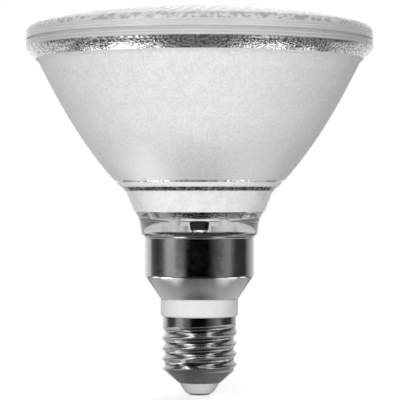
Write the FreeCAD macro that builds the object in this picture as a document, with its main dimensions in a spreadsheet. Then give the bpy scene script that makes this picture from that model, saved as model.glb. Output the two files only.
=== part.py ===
import FreeCAD, Part
import math
import os
import re

import Sketcher
from FreeCAD import Vector

# Reflector spotlight bulb with a pressed glass reflector and a 27 mm screw base.
# Millimetres. The origin is the tip of the centre contact, and +Z runs up the axis to the lens.

doc = FreeCAD.newDocument("SpotlightBulb")

# Driving dimensions
SIZES = {
    # Centre contact and the moulded insulator round it
    "solder_rise": 0.3,
    "solder_radius": 2.3,
    "solder_flat_radius": 1.2,
    "contact_radius": 4.0,
    "contact_edge": 0.3,
    "contact_thickness": 0.45,
    "contact_stem_radius": 1.5,
    "contact_stem_length": 5.2,
    "nose_height": 3.7,
    "nose_tip_radius": 4.6,
    "nose_bulge": 12.0,
    "insulator_plug_height": 1.5,
    # Screw base
    "base_lip_radius": 7.45,
    "base_cone_height": 4.9,
    "thread_radius": 13.1,
    "thread_land_cut": 0.02,
    "thread_depth": 1.05,
    "thread_pitch": 3.629,
    "thread_turns": 5.0,
    "thread_root_half": 0.5,
    "thread_land": 0.429,
    "thread_cutter_reach": 0.12,
    "thread_zone_height": 13.4,
    "thread_exit": 0.85,
    "collar_step": 0.25,
    "collar_height": 4.7,
    "collar_socket_depth": 2.4,
    "base_wall": 0.3,
    # White insulating ring between the base and the sleeve
    "ring_overhang": 0.65,
    "ring_height": 6.3,
    "ring_corner": 0.6,
    "ring_bore_radius": 9.6,
    "ring_top_spigot": 2.2,
    "spigot_clearance": 0.1,
    # Spun metal sleeve
    "sleeve_radius": 19.1,
    "sleeve_foot_overhang": 0.2,
    "sleeve_cone_height": 7.8,
    "sleeve_height": 13.9,
    "sleeve_wall": 0.5,
    "sleeve_lip_reach": 0.3,
    "sleeve_lip_height": 0.7,
    # Cement that holds the glass in the sleeve
    "cement_thickness": 0.35,
    "cement_height": 6.5,
    "cement_drop": 0.8,
    # Neck of the reflector glass
    "spigot_length": 9.0,
    "spigot_wall": 3.0,
    "neck_foot_overhang": 0.2,
    "neck_corner": 0.9,
    "neck_step": 0.75,
    "neck_height": 4.8,
    "neck_taper": 0.6,
    "neck_flare_height": 3.3,
    "neck_flare": 2.0,
    "bowl_foot_height": 15.0,
    "bowl_foot_wall": 4.25,
    "floor_height": 2.0,
    # Reflector bowl and its rim
    "mirror_floor_margin": 1.2,
    "mirror_vertex_height": 6.6,
    "mirror_depth": 61.2,
    "rim_radius": 60.5,
    "rim_land": 3.7,
    "rim_band": 3.35,
    "rim_flare": 4.65,
    "rim_flare_height": 4.15,
    "rim_chamfer": 0.4,
    # Lens and the bead that bonds it to the rim
    "seal_thickness": 0.25,
    "seal_inset": 0.5,
    "lens_band": 2.6,
    "lens_shoulder_inset": 3.3,
    "lens_shoulder_height": 2.5,
    "lens_shoulder_curve": 3.3,
    "lens_rise": 6.7,
    "lens_thickness": 3.2,
    "lens_inner_draft": 0.5,
    # Ferrules through the floor of the reflector
    "ferrule_spread": 6.0,
    "ferrule_head_radius": 2.3,
    "ferrule_head_height": 1.9,
    "ferrule_head_slope": 0.9,
    "ferrule_shank_radius": 1.4,
    "ferrule_cup_radius": 3.2,
    "ferrule_cup_height": 5.0,
    "ferrule_cup_wall": 0.5,
    "ferrule_cup_depth": 3.4,
    "ferrule_recess": 2.6,
    "ferrule_clearance": 0.1,
    # Halogen capsule and its wiring
    "post_radius": 0.6,
    "post_length": 5.0,
    "lead_radius": 0.4,
    "lead_spread": 2.5,
    "lead_bend": 1.2,
    "lead_drop": 1.8,
    "pinch_height": 6.4,
    "pinch_width": 9.6,
    "pinch_thickness": 3.4,
    "capsule_radius": 6.0,
    "capsule_wall": 1.0,
    "capsule_length": 20.0,
    "capsule_shoulder_radius": 3.6,
    "capsule_shoulder_height": 3.4,
    "capsule_tip_radius": 0.9,
    "capsule_tip_height": 2.6,
    "foil_width": 2.0,
    "foil_thickness": 0.1,
    "foil_margin": 0.9,
    "filament_radius": 0.8,
    "filament_length": 12.0,
    "filament_stand": 3.4,
    "hanger_radius": 0.25,
    "hanger_bend": 0.8,
    # Wires inside the base
    "wire_radius": 0.45,
    "wire_clearance": 0.1,
    "wire_bend": 2.5,
    "live_wire_drop": 12.0,
    "sleeving_radius": 1.0,
    "sleeving_length": 22.0,
    "weld_radius": 1.1,
    "weld_length": 1.5,
    "weld_grip": 0.9,
    "weld_drop": 8.0,
}

sheet = doc.addObject("Spreadsheet::Sheet", "Dim")
sheet.Label = "driving dimensions"
for row, (alias, size) in enumerate(SIZES.items(), start=1):
    sheet.set(f"A{row}", alias)
    sheet.set(f"B{row}", str(size))
    sheet.setAlias(f"B{row}", alias)
doc.recompute()

ALIASES = re.compile(r"\b(" + "|".join(sorted(SIZES, key=len, reverse=True)) + r")\b")


def bound(expression):
    """The sheet's form of an expression that is written with bare size names."""
    return ALIASES.sub(r"Dim.\1", expression)


def value(expression):
    """The number that an expression comes to with the sheet as it is."""
    return float(sheet.evalExpression(expression))


# Heights above the tip of the contact, each built on the piece below it
contact_top = "(solder_rise + contact_thickness)"
base_foot = f"({contact_top} + nose_height)"
thread_foot = f"({base_foot} + base_cone_height)"
thread_top = f"({thread_foot} + thread_zone_height)"
base_top = f"({thread_top} + collar_height)"
ring_top = f"({base_top} + ring_height)"
cone_top = f"({ring_top} + sleeve_cone_height)"
shoulder = f"({cone_top} + sleeve_height)"
mirror_vertex = f"({shoulder} + mirror_vertex_height)"
seam = f"({mirror_vertex} + mirror_depth)"
lens_foot = f"({seam} + seal_thickness)"
lens_edge = f"({lens_foot} + lens_band + lens_shoulder_height)"
lens_apex = f"({lens_edge} + lens_rise)"

# Radii from the thread upwards, each taken from the piece that it seats on
collar_radius = "(thread_radius - collar_step)"
ring_radius = f"({collar_radius} + ring_overhang)"
sleeve_foot_radius = f"({ring_radius} + sleeve_foot_overhang)"
sleeve_lip_radius = "(sleeve_radius + sleeve_lip_reach)"
neck_foot_radius = f"({sleeve_lip_radius} + neck_foot_overhang)"
neck_radius = f"({neck_foot_radius} + neck_step)"
neck_top_radius = f"({neck_radius} + neck_taper)"
neck_flare_radius = f"({neck_top_radius} + neck_flare)"
lens_shoulder_radius = "(rim_radius - lens_shoulder_inset)"

# The mirror is a paraboloid from its flat floor, which takes the ferrules, to the inner edge of the rim
mirror_floor_radius = "(ferrule_spread + ferrule_head_radius + mirror_floor_margin)"
mirror_edge_radius = "(rim_radius - rim_land)"
mirror_spread = f"({mirror_edge_radius}^2 / mirror_depth)"
mirror_floor = f"({mirror_vertex} + {mirror_floor_radius}^2 / {mirror_spread})"
floor_underside = f"({shoulder} + floor_height)"


def plane(body, role):
    """One of the body's own origin planes."""
    return [feature for feature in body.Origin.OriginFeatures if feature.Role == role][0]


def new_body(label):
    body = doc.addObject("PartDesign::Body", label.title().replace("_", ""))
    body.Label = label
    return body


def new_sketch(body, name, role="XZ_Plane", lift=None):
    """A sketch on one of the body's planes, raised along the plane's normal by an expression."""
    sketch = body.newObject("Sketcher::SketchObject", f"{body.Name}{name}")
    sketch.AttachmentSupport = [(plane(body, role), "")]
    sketch.MapMode = "FlatFace"
    if lift is not None:
        sketch.setExpression("AttachmentOffset.Base.z", bound(lift))
    return sketch


def bind(sketch, kind, *where_and_expression):
    """Add a dimension whose value follows the expression that comes last."""
    *where, expression = where_and_expression
    index = sketch.addConstraint(Sketcher.Constraint(kind, *where, value(expression)))
    sketch.setExpression(f"Constraints[{index}]", bound(expression))


def pin_point(sketch, edge, end, across, up):
    """Hold a point at its distance across from the axis and up from the origin."""
    bind(sketch, "DistanceX", -1, 1, edge, end, across)
    bind(sketch, "DistanceY", -1, 1, edge, end, up)


def arc_edge(start, stop, radius, side):
    """An arc whose centre lies to the left (side 1) or right (side -1) of the way from start to stop."""
    chord = stop - start
    across = Vector(-chord.y, chord.x, 0).normalize() * side
    reach = math.sqrt(max(radius**2 - (chord.Length / 2) ** 2, 0))
    centre = (start + stop) * 0.5 + across * reach
    return Part.Arc(start, centre - across * radius, stop)


def parabola_poles(start, stop, vertex, spread):
    """The corner points of the one spline that is exactly a piece of across^2 = spread * (up - vertex)."""
    middle = (f"(({start[0]}) + ({stop[0]})) / 2", f"{vertex} + ({start[0]}) * ({stop[0]}) / {spread}")
    return [start[:2], middle, stop[:2]]


def draw(sketch, corners, closed=True):
    """Draw a run of (across, up, way on) corners and bind each to its expressions.

    The way on to the next corner is None for a straight edge, ("arc", radius, side) for an arc, or
    ("parabola", vertex, spread) for the curve across^2 = spread * (up - vertex).
    """
    count = len(corners)
    ends = []
    held = set()
    for index in range(count if closed else count - 1):
        following = (index + 1) % count
        way = corners[index][2]
        start, stop = (Vector(value(x), value(y), 0) for x, y, _ in (corners[index], corners[following]))
        if way is None:
            edge = sketch.addGeometry(Part.LineSegment(start, stop))
        elif way[0] == "arc":
            edge = sketch.addGeometry(arc_edge(start, stop, value(way[1]), way[2]))
            bind(sketch, "Radius", edge, way[1])
        else:
            poles = parabola_poles(corners[index], corners[following], *way[1:])
            curve = Part.BSplineCurve()
            points = [Vector(value(x), value(y), 0) for x, y in poles]
            curve.buildFromPolesMultsKnots(points, [3, 3], [0, 1], False, 2)
            edge = sketch.addGeometry(curve)
            sketch.exposeInternalGeometry(edge)
            for pole, (across, up) in enumerate(poles, start=1):
                pin_point(sketch, edge + pole, 3, across, up)
            held |= {index, following}
        forwards = sketch.getPoint(edge, 1).distanceToPoint(start) < 1e-6
        ends.append((edge, 1, 2) if forwards else (edge, 2, 1))
    for index, (edge, _, end) in enumerate(ends):
        if closed or index + 1 < len(ends):
            following, begin, _ = ends[(index + 1) % len(ends)]
            sketch.addConstraint(Sketcher.Constraint("Coincident", edge, end, following, begin))
    for index, (across, up, _) in enumerate(corners):
        if index in held:
            continue
        edge, point = ends[index][:2] if index < len(ends) else (ends[-1][0], ends[-1][2])
        pin_point(sketch, edge, point, across, up)


def turned(label, corners):
    """A body of revolution about its own upright axis."""
    body = new_body(label)
    sketch = new_sketch(body, "Section")
    draw(sketch, corners)
    doc.recompute()
    turn = body.newObject("PartDesign::Revolution", f"{body.Name}Turned")
    turn.Profile = sketch
    turn.ReferenceAxis = (sketch, ["V_Axis"])
    turn.Angle = 360
    doc.recompute()
    return body


def drilled(body, name, places, radius, depth):
    """Round holes from the plane of the origin upwards, at (across, 0) places."""
    sketch = new_sketch(body, name, "XY_Plane")
    for across in places:
        edge = sketch.addGeometry(Part.Circle(Vector(value(across), 0, 0), Vector(0, 0, 1), value(radius)))
        bind(sketch, "Radius", edge, radius)
        pin_point(sketch, edge, 3, across, "0")
    doc.recompute()
    pocket = body.newObject("PartDesign::Pocket", f"{body.Name}{name}Pocket")
    pocket.Profile = sketch
    pocket.Reversed = True
    pocket.setExpression("Length", bound(depth))
    doc.recompute()


def wire(label, radius, points):
    """A round wire along a route of straight runs, the first of them upright."""
    body = new_body(label)
    route = new_sketch(body, "Route")
    draw(route, [(across, up, None) for across, up in points], closed=False)
    start, lift = points[0]
    section = new_sketch(body, "Section", "XY_Plane", lift)
    edge = section.addGeometry(Part.Circle(Vector(value(start), 0, 0), Vector(0, 0, 1), value(radius)))
    bind(section, "Radius", edge, radius)
    pin_point(section, edge, 3, start, "0")
    doc.recompute()
    pipe = body.newObject("PartDesign::AdditivePipe", f"{body.Name}Bent")
    pipe.Profile = section
    pipe.Spine = route
    pipe.Transition = "Right corner"
    doc.recompute()
    return body


def crossing(from_across, level, to_across, bend, way):
    """The points of a wire's square step to the right, with its corners cut back by the bend.

    The way is 1 for a wire that comes down to the level, and -1 for one that comes up.
    """
    return [
        (from_across, f"{level} + {way} * {bend}"),
        (f"{from_across} + {bend}", level),
        (f"{to_across} - {bend}", level),
        (to_across, f"{level} - {way} * {bend}"),
    ]


def primitive(kind, name, sizes, across="0", up="0"):
    """A Part primitive whose sizes and place follow expressions."""
    item = doc.addObject(kind, name)
    for prop, expression in sizes.items():
        item.setExpression(prop, bound(expression))
    item.setExpression("Placement.Base.x", bound(across))
    item.setExpression("Placement.Base.z", bound(up))
    return item


def cut(label, base, tool):
    item = doc.addObject("Part::Cut", label.title().replace("_", ""))
    item.Base, item.Tool = base, tool
    item.Label = label
    return item


# Screw base: a thin rolled metal cup with a foot cone, a knuckle thread and a plain collar
land_radius = "(thread_radius - thread_land_cut)"
root_radius = "(thread_radius - thread_depth)"
bore_radius = f"({root_radius} - base_wall)"
cone_run = f"({land_radius} - base_lip_radius)"
cone_inset = f"(base_wall * sqrt({cone_run}^2 + base_cone_height^2) / base_cone_height)"
cone_inner_radius = f"(base_lip_radius - {cone_inset})"
cone_inner_top = f"({base_foot} + ({bore_radius} - {cone_inner_radius}) * base_cone_height / {cone_run})"
collar_inner_radius = f"({collar_radius} - base_wall)"
socket_floor = f"({base_top} - collar_socket_depth)"

screw_base = turned("screw_base", [
    ("base_lip_radius", base_foot, None),
    (land_radius, thread_foot, None),
    (land_radius, thread_top, None),
    (collar_radius, f"{thread_top} + {land_radius} - {collar_radius}", None),
    (collar_radius, base_top, None),
    (collar_inner_radius, base_top, None),
    (collar_inner_radius, socket_floor, None),
    (bore_radius, socket_floor, None),
    (bore_radius, cone_inner_top, None),
    (cone_inner_radius, base_foot, None),
])

# The groove's flanks run from its root to just outside the crests, so that a thin land is left
groove_start = f"({thread_top} + thread_exit - thread_turns * thread_pitch)"
groove_half = "((thread_pitch - thread_land) / 2)"
flank_slope = f"(({groove_half} - thread_root_half) / thread_depth)"
cutter_half = f"({groove_half} + {flank_slope} * thread_cutter_reach)"
cutter_radius = "(thread_radius + thread_cutter_reach)"
groove = new_sketch(screw_base, "Groove")
draw(groove, [
    (root_radius, f"{groove_start} - thread_root_half", None),
    (cutter_radius, f"{groove_start} - {cutter_half}", None),
    (cutter_radius, f"{groove_start} + {cutter_half}", None),
    (root_radius, f"{groove_start} + thread_root_half", None),
])
doc.recompute()
thread = screw_base.newObject("PartDesign::SubtractiveHelix", "ScrewBaseThread")
thread.Profile = groove
thread.ReferenceAxis = (groove, ["V_Axis"])
thread.Mode = "pitch-height-angle"
thread.setExpression("Pitch", bound("thread_pitch"))
thread.setExpression("Height", bound("thread_turns * thread_pitch"))
thread.LeftHanded = False
doc.recompute()

# Moulded insulator that fills the foot of the base and holds the centre contact
plug_top = f"({cone_inner_top} + insulator_plug_height)"
contact_insulator = turned("contact_insulator", [
    ("contact_stem_radius", contact_top, None),
    ("nose_tip_radius", contact_top, ("arc", "nose_bulge", 1)),
    (cone_inner_radius, base_foot, None),
    (bore_radius, cone_inner_top, None),
    (bore_radius, plug_top, None),
    ("contact_stem_radius", plug_top, None),
])

# Centre contact: an eyelet whose hollow stem takes the live wire, closed by a button of solder
wire_bore = "(wire_radius + wire_clearance)"
stem_top = f"({contact_top} + contact_stem_length)"
centre_contact = turned("centre_contact", [
    (wire_bore, "solder_rise", None),
    ("contact_radius - contact_edge", "solder_rise", None),
    ("contact_radius", "solder_rise + contact_edge", None),
    ("contact_radius", contact_top, None),
    ("contact_stem_radius", contact_top, None),
    ("contact_stem_radius", stem_top, None),
    (wire_bore, stem_top, None),
])
contact_solder = turned("contact_solder", [
    ("0", "0", None),
    ("solder_flat_radius", "0", None),
    ("solder_radius", "solder_rise", None),
    ("0", "solder_rise", None),
])

# White ring that keeps the live sleeve and the base apart
sleeve_run = f"(sleeve_radius - {sleeve_foot_radius})"
sleeve_inset = f"(sleeve_wall * sqrt({sleeve_run}^2 + sleeve_cone_height^2) / sleeve_cone_height)"
foot_inner_radius = f"({sleeve_foot_radius} - {sleeve_inset})"
lower_spigot_radius = f"({collar_inner_radius} - spigot_clearance)"
upper_spigot_radius = f"({foot_inner_radius} - spigot_clearance)"
insulating_ring = turned("insulating_ring", [
    ("ring_bore_radius", f"{socket_floor} + spigot_clearance", None),
    (lower_spigot_radius, f"{socket_floor} + spigot_clearance", None),
    (lower_spigot_radius, base_top, None),
    (f"{ring_radius} - ring_corner", base_top, None),
    (ring_radius, f"{base_top} + ring_corner", None),
    (ring_radius, ring_top, None),
    (upper_spigot_radius, ring_top, None),
    (upper_spigot_radius, f"{ring_top} + ring_top_spigot", None),
    ("ring_bore_radius", f"{ring_top} + ring_top_spigot", None),
])

# Spun metal sleeve: a cone on the ring, a straight skirt and a rolled lip that the glass stands on
sleeve_inner_radius = "(sleeve_radius - sleeve_wall)"
inner_corner = (
    f"({ring_top} + ({sleeve_inner_radius} - {foot_inner_radius}) * sleeve_cone_height / {sleeve_run})"
)
lip_foot = f"({shoulder} - sleeve_lip_height)"
skirt_sleeve = turned("skirt_sleeve", [
    (foot_inner_radius, ring_top, None),
    (sleeve_foot_radius, ring_top, None),
    ("sleeve_radius", cone_top, None),
    ("sleeve_radius", lip_foot, None),
    (sleeve_lip_radius, f"{lip_foot} + {sleeve_lip_radius} - sleeve_radius", None),
    (sleeve_lip_radius, shoulder, None),
    (sleeve_inner_radius, shoulder, None),
    (sleeve_inner_radius, inner_corner, None),
])

# Band of cement between the glass spigot and the sleeve
spigot_radius = f"({sleeve_inner_radius} - cement_thickness)"
cement_top = f"({shoulder} - cement_drop)"
neck_cement = turned("neck_cement", [
    (spigot_radius, f"{cement_top} - cement_height", None),
    (sleeve_inner_radius, f"{cement_top} - cement_height", None),
    (sleeve_inner_radius, cement_top, None),
    (spigot_radius, cement_top, None),
])

# Pressed glass reflector in one piece: rim, bowl, thick neck, floor and hollow spigot
rim_foot = f"({seam} - rim_band)"
crease = f"({rim_foot} - rim_flare_height)"
crease_radius = "(rim_radius - rim_flare)"
bowl_foot = f"({shoulder} + bowl_foot_height)"
bowl_foot_radius = f"(sqrt({mirror_spread} * ({bowl_foot} - {mirror_vertex})) + bowl_foot_wall)"
bowl_spread = f"(({crease_radius}^2 - {bowl_foot_radius}^2) / ({crease} - {bowl_foot}))"
bowl_vertex = f"({crease} - {crease_radius}^2 / {bowl_spread})"
neck_foot = f"({shoulder} + neck_corner)"
neck_top = f"({neck_foot} + neck_height)"
spigot_foot = f"({shoulder} - spigot_length)"
spigot_bore_radius = f"({spigot_radius} - spigot_wall)"
reflector_bowl = turned("reflector_bowl", [
    ("0", mirror_floor, None),
    (mirror_floor_radius, mirror_floor, ("parabola", mirror_vertex, mirror_spread)),
    (mirror_edge_radius, seam, None),
    ("rim_radius - rim_chamfer", seam, None),
    ("rim_radius", f"{seam} - rim_chamfer", None),
    ("rim_radius", rim_foot, None),
    (crease_radius, crease, ("parabola", bowl_vertex, bowl_spread)),
    (bowl_foot_radius, bowl_foot, None),
    (neck_flare_radius, f"{neck_top} + neck_flare_height", None),
    (neck_top_radius, neck_top, None),
    (neck_radius, neck_foot, None),
    (neck_foot_radius, shoulder, None),
    (spigot_radius, shoulder, None),
    (spigot_radius, spigot_foot, None),
    (spigot_bore_radius, spigot_foot, None),
    (spigot_bore_radius, floor_underside, None),
    ("0", floor_underside, None),
])
recess_top = f"({floor_underside} + ferrule_recess)"
head_top = f"({mirror_floor} + ferrule_head_height)"
sides = {"left": -1, "right": 1}
ferrule_places = [f"{sign} * ferrule_spread" for sign in sides.values()]
drilled(reflector_bowl, "Shanks", ferrule_places, "ferrule_shank_radius", head_top)
drilled(reflector_bowl, "Recesses", ferrule_places, "ferrule_cup_radius + ferrule_clearance", recess_top)

# Bead that bonds the lens to the rim
rim_seal = turned("rim_seal", [
    (f"{mirror_edge_radius} + seal_inset", seam, None),
    ("rim_radius - seal_inset", seam, None),
    ("rim_radius - seal_inset", lens_foot, None),
    (f"{mirror_edge_radius} + seal_inset", lens_foot, None),
])

# Pressed glass lens: a shallow dome with a turned-down band round its edge
dome_radius = f"(({lens_shoulder_radius}^2 + lens_rise^2) / (2 * lens_rise))"
dome_inner_radius = f"({dome_radius} - lens_thickness)"
lens_inner_radius = f"({mirror_edge_radius} - lens_inner_draft)"
lens_inner_edge = f"({lens_apex} - {dome_radius} + sqrt({dome_inner_radius}^2 - {lens_inner_radius}^2))"
front_lens = turned("front_lens", [
    (mirror_edge_radius, lens_foot, None),
    ("rim_radius", lens_foot, None),
    ("rim_radius", f"{lens_foot} + lens_band", ("arc", "lens_shoulder_curve", 1)),
    (lens_shoulder_radius, lens_edge, ("arc", dome_radius, 1)),
    ("0", lens_apex, None),
    ("0", f"{lens_apex} - lens_thickness", ("arc", dome_inner_radius, -1)),
    (lens_inner_radius, lens_inner_edge, None),
])

# Metal ferrules through the floor, with a domed head inside and a cup for the wire below
cup_foot = f"({recess_top} - ferrule_cup_height)"
cup_roof = f"({cup_foot} + ferrule_cup_depth)"
cup_bore_radius = "(ferrule_cup_radius - ferrule_cup_wall)"
ferrules = {}
for side, sign in sides.items():
    ferrule = turned(f"ferrule_{side}", [
        ("0", cup_roof, None),
        (cup_bore_radius, cup_roof, None),
        (cup_bore_radius, cup_foot, None),
        ("ferrule_cup_radius", cup_foot, None),
        ("ferrule_cup_radius", recess_top, None),
        ("ferrule_shank_radius", recess_top, None),
        ("ferrule_shank_radius", mirror_floor, None),
        ("ferrule_head_radius", mirror_floor, None),
        ("ferrule_head_radius", f"{head_top} - ferrule_head_slope", None),
        ("ferrule_head_radius - ferrule_head_slope", head_top, None),
        ("0", head_top, None),
    ])
    ferrule.setExpression("Placement.Base.x", bound(f"{sign} * ferrule_spread"))
    ferrules[side] = ferrule

# Stiff posts that stand on the ferrules and carry the capsule by its leads
posts = {}
for side, sign in sides.items():
    post = primitive(
        "Part::Cylinder", f"Post{side.title()}", {"Radius": "post_radius", "Height": "post_length"},
        f"{sign} * ferrule_spread", head_top,
    )
    post.Label = f"post_{side}"
    posts[side] = post

# Leads from the pinch of the capsule, each bent out and welded to the side of its post
lead_level = f"({head_top} + post_length - 2 * lead_radius)"
pinch_foot = f"({lead_level} + lead_drop)"
foil_foot = f"({pinch_foot} + foil_margin)"
leads = {}
for side, sign in sides.items():
    lead_across = f"{sign} * lead_spread"
    leads[side] = wire(f"capsule_lead_{side}", "lead_radius", [
        (lead_across, foil_foot),
        (lead_across, f"{lead_level} + lead_bend"),
        (f"{sign} * (lead_spread + lead_bend)", lead_level),
        (f"{sign} * (ferrule_spread - post_radius)", lead_level),
    ])

# Foils that seal the current's way through the pinch
pinch_top = f"({pinch_foot} + pinch_height)"
foil_height = "(pinch_height - 2 * foil_margin)"
foils = {}
for side, sign in sides.items():
    foil = primitive(
        "Part::Box", f"Foil{side.title()}",
        {"Length": "foil_width", "Width": "foil_thickness", "Height": foil_height},
        f"{sign} * lead_spread - foil_width / 2", foil_foot,
    )
    foil.setExpression("Placement.Base.y", bound("-foil_thickness / 2"))
    foil.Label = f"foil_{side}"
    foils[side] = foil

# Filament on the axis, fed from below by a short leg and from above by a long hanger
foil_top = f"({pinch_top} - foil_margin)"
filament_foot = f"({pinch_top} + filament_stand)"
filament_top = f"({filament_foot} + filament_length)"
filament = primitive(
    "Part::Cylinder", "Filament", {"Radius": "filament_radius", "Height": "filament_length"},
    up=filament_foot,
)
filament.Label = "filament"
filament_leg = wire("filament_leg", "hanger_radius", [
    ("-lead_spread", foil_top),
    *crossing("-lead_spread", f"({filament_foot} - 2 * hanger_bend)", "0", "hanger_bend", -1),
    ("0", filament_foot),
])
filament_hanger = wire("filament_hanger", "hanger_radius", [
    ("lead_spread", foil_top),
    ("lead_spread", f"{filament_top} + hanger_bend"),
    ("lead_spread - hanger_bend", f"{filament_top} + 2 * hanger_bend"),
    ("hanger_bend", f"{filament_top} + 2 * hanger_bend"),
    ("0", f"{filament_top} + hanger_bend"),
    ("0", filament_top),
])

# Quartz capsule: a tube with a tipped-off top, pinched flat round the foils at its foot
tube_foot = f"({pinch_top} - capsule_wall)"
tube_top = f"({pinch_top} + capsule_length)"
shoulder_top = f"({tube_top} + capsule_shoulder_height)"
capsule_blank = turned("capsule_blank", [
    ("0", tube_foot, None),
    ("capsule_radius - capsule_wall", tube_foot, None),
    ("capsule_radius", pinch_top, None),
    ("capsule_radius", tube_top, None),
    ("capsule_shoulder_radius", shoulder_top, None),
    ("capsule_tip_radius", f"{shoulder_top} + capsule_tip_height / 2", None),
    ("0", f"{shoulder_top} + capsule_tip_height", None),
    ("0", shoulder_top, None),
    ("capsule_shoulder_radius - capsule_wall", f"{shoulder_top} - capsule_wall", None),
    ("capsule_radius - capsule_wall", tube_top, None),
    ("capsule_radius - capsule_wall", pinch_top, None),
    ("0", pinch_top, None),
])
pinch = new_sketch(capsule_blank, "Pinch", "XY_Plane", pinch_foot)
draw(pinch, [
    ("-pinch_width / 2", "-pinch_thickness / 2", None),
    ("pinch_width / 2", "-pinch_thickness / 2", None),
    ("pinch_width / 2", "pinch_thickness / 2", None),
    ("-pinch_width / 2", "pinch_thickness / 2", None),
])
doc.recompute()
pressed = capsule_blank.newObject("PartDesign::Pad", "CapsulePinched")
pressed.Profile = pinch
pressed.setExpression("Length", bound("pinch_height"))
doc.recompute()
inserts = doc.addObject("Part::MultiFuse", "PinchInserts")
inserts.Shapes = [*leads.values(), *foils.values(), filament_leg, filament_hanger]
capsule_envelope = cut("capsule_envelope", capsule_blank, inserts)

# Live wire from the left ferrule to the centre contact, sleeved where it runs down the base
live_turn = f"({cup_foot} - live_wire_drop)"
live_wire = wire("live_wire", "wire_radius", [
    ("-ferrule_spread", cup_roof),
    *crossing("-ferrule_spread", live_turn, "0", "wire_bend", 1),
    ("0", "solder_rise"),
])
wire_sleeving = turned("wire_sleeving", [
    (wire_bore, stem_top, None),
    ("sleeving_radius", stem_top, None),
    ("sleeving_radius", f"{stem_top} + sleeving_length", None),
    (wire_bore, f"{stem_top} + sleeving_length", None),
])

# Neutral wire from the right ferrule to a weld on the inside of the screw base
weld_level = f"({base_top} - weld_drop)"
neutral_wire = wire("neutral_wire", "wire_radius", [
    ("ferrule_spread", cup_roof),
    ("ferrule_spread", f"{weld_level} + wire_bend"),
    ("ferrule_spread + wire_bend", weld_level),
    (f"{bore_radius} - weld_length + weld_grip", weld_level),
])
weld_stub = primitive(
    "Part::Cylinder", "WeldStub", {"Radius": "weld_radius", "Height": "2 * weld_length"},
    f"{bore_radius} - weld_length", weld_level,
)
weld_stub.Placement.Rotation = FreeCAD.Rotation(Vector(0, 1, 0), 90)
base_bore = primitive(
    "Part::Cylinder", "BaseBore", {"Radius": bore_radius, "Height": base_top},
)
weld_blank = doc.addObject("Part::Common", "WeldBlank")
weld_blank.Base, weld_blank.Tool = weld_stub, base_bore
side_weld = cut("side_weld", weld_blank, neutral_wire)

doc.recompute()

PARTS = [
    front_lens, rim_seal, reflector_bowl, *ferrules.values(), *posts.values(), *leads.values(),
    *foils.values(), filament_leg, filament_hanger, filament, capsule_envelope, neck_cement,
    skirt_sleeve, insulating_ring, screw_base, contact_insulator, centre_contact, contact_solder,
    live_wire, wire_sleeving, neutral_wire, side_weld,
]

for item in doc.Objects:
    if "Invalid" in item.State or "Error" in item.State:
        raise RuntimeError(f"{item.Name} failed: {item.State}")
for part in PARTS:
    if part.Shape.isNull() or not part.Shape.isValid() or len(part.Shape.Solids) != 1:
        raise RuntimeError(f"{part.Label} is not one sound solid")

os.makedirs("parts", exist_ok=True)
for part in PARTS:
    part.Shape.exportStep(f"parts/{part.Label}.step")
    print(f"{part.Label}: {part.Shape.Volume:.2f} mm3")
print(f"{len(PARTS)} pieces")
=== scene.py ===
# %% [markdown]
# # A reflector spotlight bulb in pressed glass
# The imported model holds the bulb's pieces at their real size and place. This script keeps that frame
# and gives each piece its finished surface. Where a piece shows from outside, a finer mesh stands for
# it. Where it hides inside the base, the piece stays as it is and only gets a material.

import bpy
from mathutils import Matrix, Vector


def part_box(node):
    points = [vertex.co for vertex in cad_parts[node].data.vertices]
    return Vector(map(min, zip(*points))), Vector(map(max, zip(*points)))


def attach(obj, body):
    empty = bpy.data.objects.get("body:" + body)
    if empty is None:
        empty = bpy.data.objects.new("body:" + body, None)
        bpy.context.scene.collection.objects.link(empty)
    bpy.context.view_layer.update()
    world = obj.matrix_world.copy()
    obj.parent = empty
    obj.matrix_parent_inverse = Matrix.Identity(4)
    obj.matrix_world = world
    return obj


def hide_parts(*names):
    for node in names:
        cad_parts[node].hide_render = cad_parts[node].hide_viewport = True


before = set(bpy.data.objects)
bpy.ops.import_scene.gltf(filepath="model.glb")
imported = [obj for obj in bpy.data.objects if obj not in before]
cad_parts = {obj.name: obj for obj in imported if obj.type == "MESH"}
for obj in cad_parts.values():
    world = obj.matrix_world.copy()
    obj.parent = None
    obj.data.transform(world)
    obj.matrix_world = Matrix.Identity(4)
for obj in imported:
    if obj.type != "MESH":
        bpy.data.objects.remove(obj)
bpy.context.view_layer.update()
print("frame pieces:", len(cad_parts))

# %% [markdown]
# The real bulb is drawn and turned in millimetres, and Blender counts in metres. One factor changes
# between them, so every size below can be read as it would be measured on the bulb. Three short
# helpers read the height and width of a frame piece, which saves writing the same numbers twice.

# %% Units and measures from the frame
import math

import bmesh
import bpy
from mathutils import Vector

MM = 0.001
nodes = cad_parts


def foot(node):
    """The lowest height of a frame piece, in millimetres."""
    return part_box(node)[0].z / MM


def top(node):
    """The highest height of a frame piece, in millimetres."""
    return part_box(node)[1].z / MM


def radius(node):
    """Half the width of a frame piece that lies on the axis, in millimetres."""
    return (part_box(node)[1].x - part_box(node)[0].x) / 2 / MM


print("rim radius", round(radius("reflector_bowl"), 2), "seam height", round(top("reflector_bowl"), 2))

# %% [markdown]
# Almost every piece of this bulb is round about one axis, because glass moulds, spinning lathes and
# thread rollers all make round things. A screw modifier or a primitive cylinder could make them too,
# but one drawn section that is spun once keeps each corner where the maker's drawing has it. The seam
# and the poles are merged, and only then are the normals turned outwards.


# %% Turning a section about the axis
ROUND_STEPS = 192


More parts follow.
